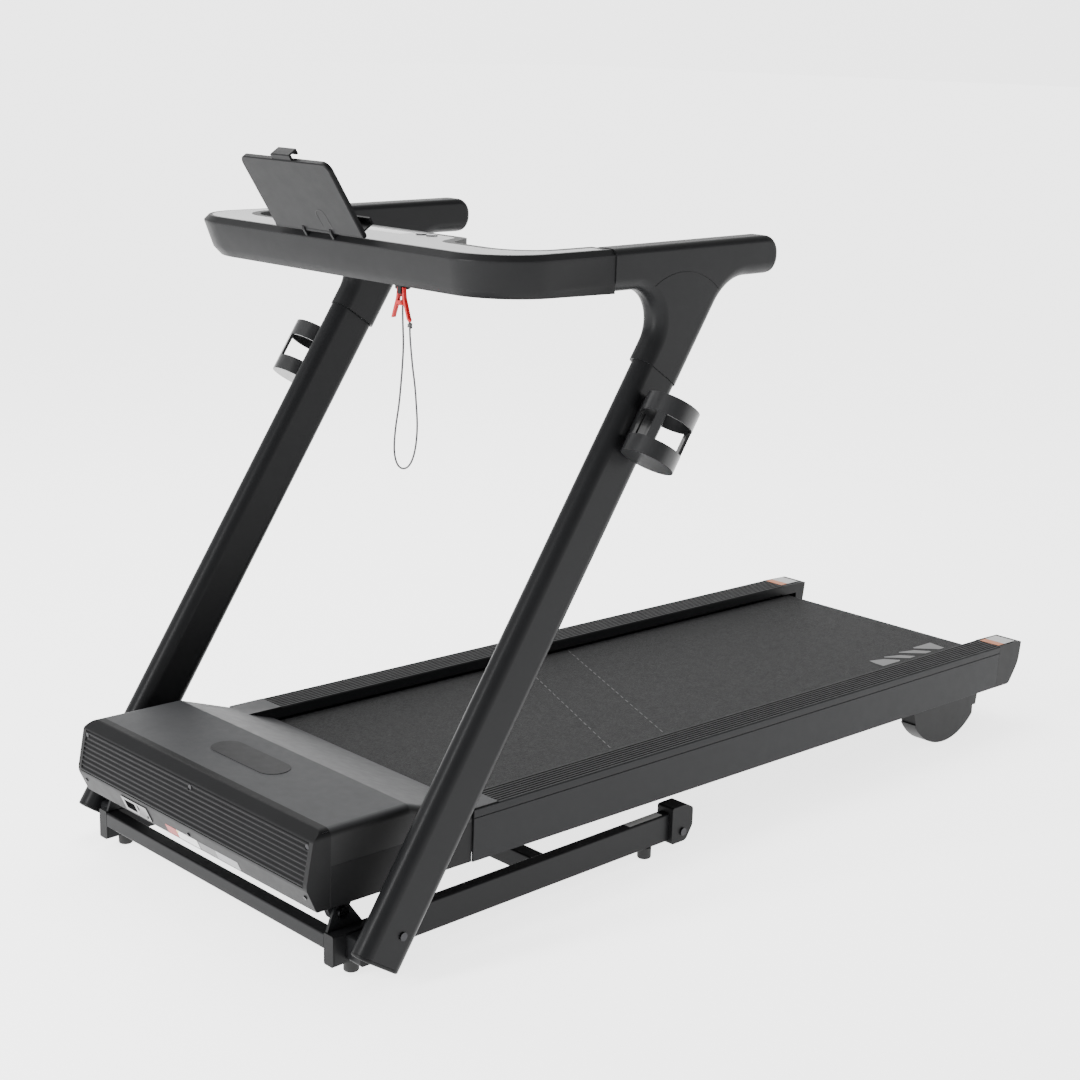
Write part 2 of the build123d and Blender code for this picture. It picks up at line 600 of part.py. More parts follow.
def shoulder_edges(shape, half):
    """Edges along both sides of the hood's top and slope."""
    def on_shoulder(edge):
        centre = edge.center()
        return abs(abs(centre.X) - half) < 0.1 and centre.Z > 0 and centre.Y > HOOD_FRONT + 30
    return [edge for edge in shape.edges() if on_shoulder(edge)]


def hood_cover():
    """Thin moulded cover over the motor, sloping down to the belt, with a wing over each foot rail."""
    shell = side_prism(hood_profile(), -HOOD_HALF, HOOD_HALF, [0, 0, 12, 0, 0])
    shell = fillet(shoulder_edges(shell, HOOD_HALF), HOOD_SHOULDER)
    inside = side_prism(hood_profile(WALL), WALL - HOOD_HALF, HOOD_HALF - WALL, [0, 0, 12, 0, 0])
    shell -= fillet(shoulder_edges(inside, HOOD_HALF - WALL), HOOD_SHOULDER - 2)
    rail = block(RAIL_INNER - 0.5, 320, RAIL_FRONT - 0.5, HOOD_REAR + 10, -60, -1.5)
    over = block(RAIL_INNER - 0.5, 320, -614, HOOD_REAR + 10, -1.5, 60)
    wing = block(RAIL_INNER - 0.5, HOOD_HALF, -618, RIB_FRONT, -1.5, 1)
    return shell - both(rail + over) + both(wing)


def hood_badge():
    """Plain oval plate on the hood."""
    corners = [(-87.5, -824), (87.5, -824), (87.5, -768), (-87.5, -768)]
    return plan_prism(corners, HOOD_TOP, HOOD_TOP + 0.8, 27)


def front_panel():
    """Ribbed panel across the front, with short returns down both sides and a hole for the inlet."""
    y = HOOD_FRONT
    outside = [(y + 24, HOOD_TOP), (y + 10, HOOD_TOP), (y - 8, HOOD_TOP - 12), (y - 19, -40),
               (y - 19, -48), (y, HOOD_BOTTOM), (y + 24, HOOD_BOTTOM)]
    inside = [(y + 25, HOOD_TOP - 4), (y + 11, HOOD_TOP - 4), (y - 4, HOOD_TOP - 14), (y - 14, -40),
              (y - 14, -47), (y + 4, HOOD_BOTTOM + 4), (y + 25, HOOD_BOTTOM + 4)]
    panel = side_prism(outside, -HOOD_HALF, HOOD_HALF, [0, 8, 8, 20, 20, 3, 0])
    panel -= side_prism(inside, 4 - HOOD_HALF, HOOD_HALF - 4)
    panel = (panel - rib_field(False)) + rib_field(True)
    envelope = block(-HOOD_HALF, HOOD_HALF, y - 30, y + 24, -140, HOOD_TOP)
    shoulders = [e for e in envelope.edges().filter_by(Axis.Y) if e.center().Z > 0]
    envelope = fillet(shoulders, HOOD_SHOULDER)
    panel = panel & envelope
    for x in SCREW_X:
        panel -= bar((x, SCREW_SEAT_Y, SCREW_H), (x, SCREW_SEAT_Y - 8, SCREW_H), 5)
    return panel - on_panel(block(INLET_LEFT, INLET_RIGHT, -13, 13, -20, 20))


def rib_field(waves):
    """Solid behind the panel's ribbed field: flat in front, or with the waves of its nine ribs."""
    top, pitch, count = 22.0, 7.6, 9

    def face_y(h):
        return HOOD_FRONT - 8 - (25 - h) * 11 / 65
    bottom = top - pitch * count
    back = [(face_y(bottom) + 4.2, bottom), (face_y(top) + 4.2, top)]
    if not waves:
        return side_prism([(face_y(top) - 3, top), (face_y(bottom) - 3, bottom)] + back, -303, 303)
    front = [(face_y(top) + 2.6, top)]
    for i in range(count):
        h = top - pitch * (i + 0.5)
        front += [(face_y(h) - 0.9, h), (face_y(h - pitch / 2) + 2.9, h - pitch / 2)]
    radii = [0] + [2.2] * (2 * count - 1) + [0, 0, 0]
    return side_prism(front + back, -303, 303, radii)


def on_panel(shape):
    """Set a piece on the panel's slanted lower face: its Y runs up the face and its Z points out."""
    lean = math.degrees(math.atan2(48 + HOOD_BOTTOM, 19))
    return Pos(0, HOOD_FRONT - 9.5, (HOOD_BOTTOM - 48) / 2) * Rot(180 + lean, 0, 0) * shape


def hood_screws():
    """Six screws: three in seats among the ribs and three on the slanted face below them."""
    screws = None
    for x in SCREW_X:
        upper = bar((x, SCREW_SEAT_Y, SCREW_H), (x, SCREW_SEAT_Y - 2.4, SCREW_H), 4)
        lower = on_panel(Pos(x, 4, 0) * Cylinder(3.5, 1.6, align=BOTTOM))
        screws = upper + lower if screws is None else screws + upper + lower
    return screws


def bottom_pan():
    """Tray under the motor with side walls that carry the hood, notched for the hinge ears."""
    y0, y1 = HOOD_FRONT + 24, RAIL_FRONT
    pan = block(-HOOD_HALF, HOOD_HALF, y0, y1, HOOD_BOTTOM, DECK_TUBE_BOTTOM)
    pan += both(block(HOOD_HALF - 4, HOOD_HALF, y0, y1, DECK_TUBE_BOTTOM, HOOD_SIDE_BOTTOM))
    return pan - both(block(284, 298.2, y0 - 1, FOLD_Y + 34, HOOD_BOTTOM - 1, DECK_TUBE_BOTTOM))


def motor():
    """Motor can in a cradle, on a plate across the pan."""
    can = cross_bar(-190, -30, MOTOR_Y, MOTOR_H, MOTOR_RADIUS)
    can += cross_bar(-30, -16, MOTOR_Y, MOTOR_H, 30)
    can -= cross_bar(-191, -150, MOTOR_Y, MOTOR_H, 8 + CLEAR)
    plate = block(-240, 20, MOTOR_Y - 40, MOTOR_Y + 40, DECK_TUBE_BOTTOM, -78)
    cradle = block(-180, -40, MOTOR_Y - 28, MOTOR_Y + 28, -78, MOTOR_H)
    return can + (cradle - cross_bar(-191, -29, MOTOR_Y, MOTOR_H, MOTOR_RADIUS)) + plate


def motor_pulley():
    """Rotor shaft with the flywheel and, at its end, the small pulley."""
    shaft = cross_bar(PULLEY_LEFT, -152, MOTOR_Y, MOTOR_H, 8)
    flywheel = cross_bar(-232, -200, MOTOR_Y, MOTOR_H, 38)
    return shaft + flywheel + cross_bar(PULLEY_LEFT, PULLEY_RIGHT, MOTOR_Y, MOTOR_H, MOTOR_PULLEY)


def belt_loop(grow, x0, x1):
    """Solid inside the drive belt's loop, its radii grown by a thickness."""
    centres = [(MOTOR_Y, MOTOR_H, MOTOR_PULLEY + grow), (FRONT_ROLLER_Y, ROLLER_H, ROLLER_PULLEY + grow)]
    rise, run = ROLLER_H - MOTOR_H, FRONT_ROLLER_Y - MOTOR_Y
    swing = math.atan2(rise, run)
    lift = math.acos((MOTOR_PULLEY - ROLLER_PULLEY) / math.hypot(run, rise))
    upper = [(y + r * math.cos(swing + lift), h + r * math.sin(swing + lift)) for y, h, r in centres]
    lower = [(y + r * math.cos(swing - lift), h + r * math.sin(swing - lift)) for y, h, r in centres]
    loop = side_prism(upper + lower[::-1], x0, x1)
    for y, h, r in centres:
        loop += cross_bar(x0, x1, y, h, r)
    return loop


def drive_belt():
    """Ribbed belt from the motor pulley to the front roller's pulley."""
    x0, x1 = PULLEY_LEFT + 1, PULLEY_RIGHT - 1
    return belt_loop(3.3, x0, x1) - belt_loop(GAP, x0 - 1, x1 + 1)


def motor_controller():
    """Circuit board in a finned box beside the motor."""
    box = block(40, 200, -850, -700, DECK_TUBE_BOTTOM, -40)
    box += block(60, 180, -840, -710, -40, -36)
    for i in range(8):
        x = 66 + 15 * i
        box += block(x, x + 3, -838, -712, -36, -16)
    return box


def power_inlet():
    """Flanged housing in the front panel, with a socket for a mains lead and a pocket for the switch."""
    body = block(INLET_LEFT, INLET_RIGHT, -13, 13, -20, 0)
    body += block(INLET_LEFT - 2, INLET_RIGHT + 2, -14.5, 14.5, 0, 1.5)
    body -= block(INLET_LEFT + 5, INLET_LEFT + 35, -9, 9, -14, 2)
    for x, y in ((-8, -3), (8, -3), (0, 4)):
        body += block(INLET_LEFT + 19 + x, INLET_LEFT + 21 + x, y - 2, y + 2, -14, -6)
    body -= block(INLET_RIGHT - 28, INLET_RIGHT - 4, -10.5, 10.5, -10, 2)
    return on_panel(body - cross_bar(INLET_RIGHT - 30, INLET_RIGHT - 2, 0, -3, 1.5 + CLEAR))


def power_switch():
    """Rocker key, lying in its off position."""
    outline = [(-9.5, -5), (9.5, -5), (9.5, 2.2), (0, 0.4), (-9.5, 2.2)]
    rocker = side_prism(outline, INLET_RIGHT - 27.5, INLET_RIGHT - 4.5)
    rocker += cross_bar(INLET_RIGHT - 29.5, INLET_RIGHT - 2.5, 0, -3, 1.5)
    return on_panel(Pos(0, 0, -3) * Rot(-8, 0, 0) * Pos(0, 0, 3) * rocker)


# ---- safety key, cord and clip ---------------------------------------------------------
CORD_ROUTE = [
    (KEY_X, KEY_Y, 968), (130, -600, 950), (131, -600, 925), (132, -599, 895), (131, -600, 862),
    (129, -601, 832), (125, -601, 800), (119, -602, 768), (114, -601, 738), (114, -600, 718),
    (121, -599, 703), (134, -598, 700), (148, -598, 708), (159, -599, 725), (166, -600, 748),
    (168, -600, 776), (166, -601, 806), (166, -604, 836), (165, -608, 862), (166, -612, 886),
    (168, -616, 906), (CLIP_X + 20, CLIP_Y, 922), (CLIP_X + 20, CLIP_Y, 940),
]


def safety_cord():
    """Thin cord from the key down in a long loop and up to the clip."""
    points = [Vector(*p) for p in CORD_ROUTE]
    radii = []
    for before, here, after in zip(points, points[1:], points[2:]):
        arrive, leave = here - before, after - here
        turn = math.radians(arrive.get_angle(leave))
        radii.append(0.45 * min(arrive.length, leave.length) / math.tan(turn / 2))
    path = FilletPolyline(*points, radius=radii)
    start = Plane(origin=path @ 0, z_dir=path % 0)
    tube = sweep(start * Circle(CORD_RADIUS), path=path)
    ideal = math.pi * CORD_RADIUS ** 2 * path.length
    print("cord corner radii, mm:", [round(r, 1) for r in radii])
    print(f"cord length {path.length:.1f} mm, volume {tube.volume:.1f} of {ideal:.1f} mm3")
    return tube


def safety_key():
    """Round magnetic key under the console with a stub for the cord."""
    disc = Pos(KEY_X, KEY_Y, 979) * Cylinder(12, KEY_TOP - 979, align=BOTTOM)
    disc = fillet(disc.edges().sort_by(Axis.Z)[:1], 3)
    return disc + Pos(KEY_X, KEY_Y, 968) * Cylinder(4, 11, align=BOTTOM)


def clip_lever(y0, y1, side):
    """One lever of the clip: jaw on top, finger plate below."""
    outline = [(4.6, 985.5), (7, 985.5), (9.5, 969), (20.5, 938), (16.5, 938), (6.2, 965), (4.6, 974)]
    radii = [0.8, 0.8, 4, 1.2, 1.2, 3, 3]
    edge = FilletPolyline(*[(side * x, z) for x, z in outline], radius=radii, close=True)
    return Pos(CLIP_X, y0, 0) * extrude(Plane.XZ * make_face(edge), amount=y1 - y0, dir=(0, 1, 0))


def clip_eye(y0, y1, side):
    """Eye round the clip's pin and the web that joins it to its lever."""
    eye = bar((CLIP_X, y0, CLIP_Z), (CLIP_X, y1, CLIP_Z), 4)
    reach = sorted((CLIP_X, CLIP_X + side * 9))
    return eye + block(*reach, y0, y1, CLIP_Z - 3, CLIP_Z + 3)


def clip_body():
    """Lever that the cord is tied to, with the pin and the middle eye."""
    lever = clip_lever(CLIP_Y - 3, CLIP_Y + 3, 1) + clip_eye(CLIP_Y - 1.2, CLIP_Y + 1.2, 1)
    lever += bar((CLIP_X, CLIP_Y - 3.8, CLIP_Z), (CLIP_X, CLIP_Y + 3.8, CLIP_Z), 1.5)
    lever += Pos(CLIP_X + 19.5, CLIP_Y, 938) * Sphere(3.4)
    return lever - bar((CLIP_X + 20, CLIP_Y, 930), (CLIP_X + 20, CLIP_Y, 940), CORD_RADIUS)


def clip_jaw():
    """Lever that swings about the clip's pin on two outer eyes."""
    lever = clip_lever(CLIP_Y - 3, CLIP_Y + 3, -1)
    lever += clip_eye(CLIP_Y - 3.2, CLIP_Y - 1.5, -1) + clip_eye(CLIP_Y + 1.5, CLIP_Y + 3.2, -1)
    return lever - bar((CLIP_X, CLIP_Y - 6, CLIP_Z), (CLIP_X, CLIP_Y + 6, CLIP_Z), 1.5 + CLEAR)


def build_all():
    save("base_tube_left", base_tube())
    save("base_tube_right", other_side(base_tube()))
    save("cross_tubes", cross_tubes())
    save("frame_brackets", frame_brackets())
    save("frame_bolts", frame_bolts())
    save("end_plugs", tube_plugs() + upright_plugs())
    save("foot_pads", foot_pads())
    save("wheel_housings", both(wheel_housing()))
    save("transport_wheel_left", transport_wheel())
    save("transport_wheel_right", other_side(transport_wheel()))
    save("upright_left", upright())
    save("upright_right", other_side(upright()))
    handle, sleeve = joint_pieces()
    save("handle_left", handle)
    save("handle_right", other_side(handle))
    save("sleeve_left", sleeve)
    save("sleeve_right", other_side(sleeve))
    save("console_housing", console_housing())
    save("console_cover", console_cover())
    save("control_panel", control_panel())
    save("display_window", display_window())
    save("display_board", display_board())
    for name, place in BUTTONS.items():
        save(name, button(*place))
    save("tablet_plate", tablet_plate())
    save("tablet_clip", tablet_clip())
    save("tablet_bracket", tablet_bracket())
    save("cup_holder_left", cup_holder())
    save("cup_holder_right", other_side(cup_holder()))
    save("foot_rail_left", on_deck(foot_rail()))
    save("foot_rail_right", on_deck(other_side(foot_rail())))
    save("rail_end_caps", on_deck(rail_end_caps()))
    save("deck_frame", on_deck(deck_frame()))
    save("hinge_ears", on_deck(hinge_ears()))
    save("deck_board", on_deck(deck_board()))
    save("deck_cushions", on_deck(deck_cushions()))
    save("running_belt", on_deck(running_belt()))
    save("front_roller", on_deck(front_roller()))
    save("rear_roller", on_deck(roller(REAR_ROLLER_Y)))
    save("roller_shafts", on_deck(roller_shafts()))
    save("rear_feet", rear_feet())
    save("hood_cover", on_deck(hood_cover()))
    save("hood_badge", on_deck(hood_badge()))
    save("front_panel", on_deck(front_panel()))
    save("hood_screws", on_deck(hood_screws()))
    save("bottom_pan", on_deck(bottom_pan()))
    save("motor", on_deck(motor()))
    save("motor_pulley", on_deck(motor_pulley()))
    save("drive_belt", on_deck(drive_belt()))
    save("motor_controller", on_deck(motor_controller()))
    save("power_inlet", on_deck(power_inlet()))
    save("power_switch", on_deck(power_switch()))
    save("safety_key", safety_key())
    save("safety_cord", safety_cord())
    save("clip_body", clip_body())
    save("clip_jaw", clip_jaw())


build_all()
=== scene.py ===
"""Looks of the folding treadmill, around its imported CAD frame. Metres, +Z up, -Y the front."""

import json
import math

import bmesh
import bpy
from mathutils import Matrix, Vector


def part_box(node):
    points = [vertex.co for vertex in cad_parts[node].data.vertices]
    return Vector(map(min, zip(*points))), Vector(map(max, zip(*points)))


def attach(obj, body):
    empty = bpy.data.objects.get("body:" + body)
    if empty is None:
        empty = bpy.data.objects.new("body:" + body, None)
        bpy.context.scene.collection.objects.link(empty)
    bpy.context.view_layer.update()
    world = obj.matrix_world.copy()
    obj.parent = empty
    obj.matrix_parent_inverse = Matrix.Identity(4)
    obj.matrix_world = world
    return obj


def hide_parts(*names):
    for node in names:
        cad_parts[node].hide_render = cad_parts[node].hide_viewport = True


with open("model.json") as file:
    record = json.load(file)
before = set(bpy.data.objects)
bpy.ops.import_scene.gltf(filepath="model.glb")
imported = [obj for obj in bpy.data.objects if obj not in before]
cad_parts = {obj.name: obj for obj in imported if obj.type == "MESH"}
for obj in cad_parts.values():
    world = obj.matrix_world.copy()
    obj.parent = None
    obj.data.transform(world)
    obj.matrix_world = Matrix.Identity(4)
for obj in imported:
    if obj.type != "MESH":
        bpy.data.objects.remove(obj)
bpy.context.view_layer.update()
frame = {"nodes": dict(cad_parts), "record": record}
NODES = frame["nodes"]

# The deck's pieces are drawn level, with z = 0 on the foot rails' top, and laid on its slope.
DECK_HEIGHT = 0.1837
DECK_SLOPE = -1.03        # degrees
DECK = Matrix.Translation((0, 0, DECK_HEIGHT)) @ Matrix.Rotation(math.radians(DECK_SLOPE), 4, "X")
BELT_TOP = -0.024
RAIL_TOP = 0.0
STICKER = 0.0003          # thickness of a label
EDGE = 0.0012             # radius of a piece's edges, unless FINE says less

# Camera: degrees of azimuth, pitch and roll, and the place it looks from.
CAMERA_ANGLES = (45.82, 14.16, -1.63)
CAMERA_PLACE = (2.404, -2.498, 1.361)
LENS = 65.2
SENSOR = 36
SHIFT_X, SHIFT_Y = -0.0037, -0.013

# Safety cord, and its knot at the clip.
CORD_RADIUS = 0.0015
KNOT_CORD_RADIUS = 0.0013
KNOT_PLACE = (0.170, -0.619, 0.9265)
KNOT_RADIUS, KNOT_HEIGHT, KNOT_TURNS = 0.0027, 0.0065, 2.5

# Tablet holder: its hinge line's place and its lean in degrees.
TABLET_PLACE = (-0.01, -0.651, 1.0538)
TABLET_LEAN = 33

# Front panel, in the deck's frame: its screws, and its slanted lower face, on which x runs across,
# y up the face and z out of it.
SCREW_X = (-0.299, 0, 0.299)
SCREW_HEAD = (0, -0.9103, 0.0144)
SLANT_PLACE = (0, -0.9105, -0.0675)
SLANT_UP = Vector((0, -19, 39)).normalized()
SLANT_OUT = Vector((0, -39, -19)).normalized()
SLANT_AXES = Matrix(((1, 0, 0), SLANT_UP, SLANT_OUT)).transposed().to_4x4()
SLANT = DECK @ Matrix.Translation(SLANT_PLACE) @ SLANT_AXES

# Weave of the belt: its pitch, and how steeply its threads cross.
WEAVE_PITCH = 0.0062
WEAVE_SLANT = 1.7

# Studio.
FLOOR_HALF = 60
FLOOR_GLOW = 2.7
HORIZON_GLOW = 2.35
SKY_LOW, SKY_HIGH = 0.25, 1.25
KEY_WATTS, STRIP_WATTS = 90, 160


# ---- camera --------------------------------------------------------------------------------
def make_camera():
    azimuth, pitch, roll = (math.radians(a) for a in CAMERA_ANGLES)
    level = math.cos(pitch)
    forward = Vector((-math.sin(azimuth) * level, math.cos(azimuth) * level, -math.sin(pitch)))
    right = Vector((math.cos(azimuth), math.sin(azimuth), 0))
    down = forward.cross(right)
    side = math.cos(roll) * right + math.sin(roll) * down
    drop = -math.sin(roll) * right + math.cos(roll) * down
    data = bpy.data.cameras.new("camera")
    data.lens = LENS
    data.sensor_width = SENSOR
    data.shift_x = SHIFT_X
    data.shift_y = SHIFT_Y
    camera = bpy.data.objects.new("camera", data)
    turn = Matrix((side, -drop, -forward)).transposed().to_4x4()
    camera.matrix_world = Matrix.Translation(CAMERA_PLACE) @ turn
    bpy.context.scene.collection.objects.link(camera)
    bpy.context.scene.camera = camera


make_camera()


# ---- materials -----------------------------------------------------------------------------
class Shader:
    """A node tree around one Principled shader, with coordinates in metres."""

    def __init__(self, name, rough, **uniform):
        self.material = bpy.data.materials.new(name)
        self.material.use_nodes = True
        self.tree = self.material.node_tree
        self.bsdf = self.tree.nodes["Principled BSDF"]
        self.bsdf.inputs["Roughness"].default_value = rough
        for socket, value in uniform.items():
            self.bsdf.inputs[socket.replace("_", " ")].default_value = value
        self.place = self.tree.nodes.new("ShaderNodeTexCoord").outputs["Object"]
        self.normal = None

    def link(self, source, target):
        self.tree.links.new(source, target)

    def math(self, operation, a, b=0.0):
        node = self.tree.nodes.new("ShaderNodeMath")
        node.operation = operation
        for socket, value in zip(node.inputs, (a, b)):
            if isinstance(value, (int, float)):
                socket.default_value = value
            else:
                self.link(value, socket)
        return node.outputs[0]

    def facing(self, axis):
        """How squarely the surface faces along one of the piece's own axes, 0 to 1."""
        split = self.tree.nodes.new("ShaderNodeSeparateXYZ")
        self.link(self.tree.nodes.new("ShaderNodeTexCoord").outputs["Normal"], split.inputs[0])
        return self.math("ABSOLUTE", split.outputs[axis])

    def mapped(self, scale):
        node = self.tree.nodes.new("ShaderNodeMapping")
        node.inputs["Scale"].default_value = scale
        self.link(self.place, node.inputs["Vector"])
        return node.outputs["Vector"]

    def noise(self, scale, detail, stretch=(1, 1, 1)):
        node = self.tree.nodes.new("ShaderNodeTexNoise")
        node.inputs["Scale"].default_value = scale
        node.inputs["Detail"].default_value = detail
        self.link(self.mapped(stretch), node.inputs["Vector"])
        return node.outputs["Fac"]

    def cells(self, scale):
        node = self.tree.nodes.new("ShaderNodeTexVoronoi")
        node.inputs["Scale"].default_value = scale
        self.link(self.place, node.inputs["Vector"])
        return node.outputs["Distance"]

    def spread(self, value, low, high, start=0.3, end=0.7):
        """Stretch value so that start to end becomes low to high."""
        node = self.tree.nodes.new("ShaderNodeMapRange")
        for socket, number in zip(node.inputs[1:5], (start, end, low, high)):
            socket.default_value = number
        self.link(value, node.inputs[0])
        return node.outputs[0]

    def blend(self, factor, first, second):
        node = self.tree.nodes.new("ShaderNodeMix")
        node.data_type = "RGBA"
        self.link(factor, node.inputs[0])
        for index, value in ((6, first), (7, second)):
            if isinstance(value, tuple):
                node.inputs[index].default_value = (*value, 1)
            else:
                self.link(value, node.inputs[index])
        return node.outputs[2]

    def bump(self, height, strength, distance):
        node = self.tree.nodes.new("ShaderNodeBump")
        node.inputs["Strength"].default_value = strength
        node.inputs["Distance"].default_value = distance
        self.link(height, node.inputs["Height"])
        if self.normal is not None:
            self.link(self.normal, node.inputs["Normal"])
        self.normal = node.outputs["Normal"]

    def finish(self, color, rough=None):
        self.link(color, self.bsdf.inputs["Base Color"])
        if rough is not None:
            self.link(rough, self.bsdf.inputs["Roughness"])
        if self.normal is not None:
            self.link(self.normal, self.bsdf.inputs["Normal"])
        return self.material


def shade(color, k):
    return tuple(min(1.0, c * k) for c in color)


def moulded(name, color, rough, grain, depth, strength, mottle=0.05, **uniform):
    """Moulded or painted surface: slow colour and gloss drift, and a fine grain."""
    s = Shader(name, rough, **uniform)
    drift = s.spread(s.noise(9, 3), 0, 1)
    tint = s.blend(drift, shade(color, 1 - mottle), shade(color, 1 + mottle))
    gloss = s.spread(s.noise(55, 4), rough - 0.02, rough + 0.03)
    s.bump(s.cells(grain), strength, depth)
    return s.finish(tint, gloss)


def brushed(name, color, rough, stretch):
    """Drawn or turned metal: streaks along one way."""
    s = Shader(name, rough, Metallic=1.0)
    streak = s.noise(900, 3, stretch)
    tint = s.blend(s.spread(streak, 0, 1), shade(color, 0.85), shade(color, 1.15))
    s.bump(streak, 0.2, 0.00003)
    return s.finish(tint, s.spread(s.noise(60, 3), rough - 0.06, rough + 0.08))


def belt_look():
    """Rubber with a fine raised diamond weave and scuffs along the running direction."""
    s = Shader("belt_rubber", 0.62, Specular_IOR_Level=0.15)
    split = s.tree.nodes.new("ShaderNodeSeparateXYZ")
    s.link(s.place, split.inputs[0])
    x, y = split.outputs[0], split.outputs[1]
    turns = 2 * math.pi / WEAVE_PITCH
    across = s.math("MULTIPLY", x, WEAVE_SLANT)
    rise = s.math("SINE", s.math("MULTIPLY", s.math("ADD", across, y), turns))
    fall = s.math("SINE", s.math("MULTIPLY", s.math("SUBTRACT", across, y), turns))
    weave = s.math("MAXIMUM", s.math("ABSOLUTE", rise), s.math("ABSOLUTE", fall))
    s.bump(weave, 0.8, 0.0006)
    s.bump(s.noise(420, 3, (1, 0.6, 1)), 0.5, 0.0008)
    wear = s.spread(s.noise(150, 5, (1, 0.06, 1)), 0, 1, 0.35, 0.75)
    tint = s.blend(wear, (0.026, 0.0262, 0.0268), (0.03, 0.0302, 0.0308))
    grain = s.spread(s.noise(330, 3, (1, 0.55, 1)), 0, 1, 0.38, 0.62)
    tint = s.blend(grain, tint, (0.0125, 0.0126, 0.013))
    # painted shade: the weave's low hollows are blended towards near-black
    tint = s.blend(s.spread(weave, 0, 0.35, 0.9, 0.2), tint, (0.011, 0.011, 0.0113))
    return s.finish(tint, s.spread(s.noise(60, 4), 0.6, 0.65))


def hood_look():
    """Hood moulding in satin grey, with a painted lighter top and painted shade down its sides."""
    s = Shader("hood_plastic", 0.45, Specular_IOR_Level=0.16)
    # painted light and shade: faces turned up get the lighter tone, faces turned sideways the
    # darker one
    side = s.spread(s.facing(0), 0, 1, 0.35, 0.85)
    drift = s.spread(s.noise(14, 3), 0, 1)
    lit_top = s.blend(drift, (0.038, 0.039, 0.041), (0.043, 0.044, 0.046))
    shaded_sides = s.blend(drift, (0.006, 0.0061, 0.0064), (0.008, 0.0081, 0.0085))
    s.bump(s.cells(1600), 0.3, 0.00004)
    return s.finish(s.blend(side, lit_top, shaded_sides), s.spread(s.noise(55, 4), 0.43, 0.48))


def board_look():
    """Board with black laminate on both faces and brown fibre on its edges."""
    s = Shader("board_wood", 0.5)
    flat = s.math("GREATER_THAN", s.facing(2), 0.7)
    strands = s.spread(s.noise(700, 4, (1, 1, 6)), 0, 1)
    fibre = s.blend(strands, (0.045, 0.03, 0.018), (0.09, 0.06, 0.038))
    speckle = s.spread(s.noise(300, 3), 0, 1)
    laminate = s.blend(speckle, (0.014, 0.014, 0.014), (0.022, 0.022, 0.022))
    s.bump(s.noise(900, 3), 0.2, 0.0001)
    return s.finish(s.blend(flat, fibre, laminate), s.spread(s.noise(90, 2), 0.42, 0.6))


def circuit_look():
    """Green solder mask with paler tracks."""
    s = Shader("circuit", 0.35, Coat_Weight=0.4)
    tracks = s.math("GREATER_THAN", s.noise(260, 0, (1, 0.25, 1)), 0.56)
    s.bump(tracks, 0.3, 0.00005)
    return s.finish(s.blend(tracks, (0.01, 0.07, 0.03), (0.03, 0.17, 0.08)))


def braid_look():
    """Braided cord: fine crossing strands."""
    s = Shader("cord_fabric", 0.8, Sheen_Weight=0.3)
    strands = s.noise(1800, 3, (1, 1, 0.5))
    s.bump(strands, 0.6, 0.0003)
    tint = s.blend(s.spread(strands, 0, 1), (0.012, 0.012, 0.013), (0.04, 0.04, 0.042))
    return s.finish(tint)


def panel_look():
    """Gloss sheet of the console: clear coat over a plain grey."""
    s = Shader("gloss_panel", 0.3, Coat_Weight=0.5, Coat_Roughness=0.12)
    drift = s.spread(s.noise(6, 2), 0, 1)
    tint = s.blend(drift, (0.054, 0.056, 0.06), (0.06, 0.062, 0.066))
    return s.finish(tint, s.spread(s.noise(8, 2), 0.29, 0.33))


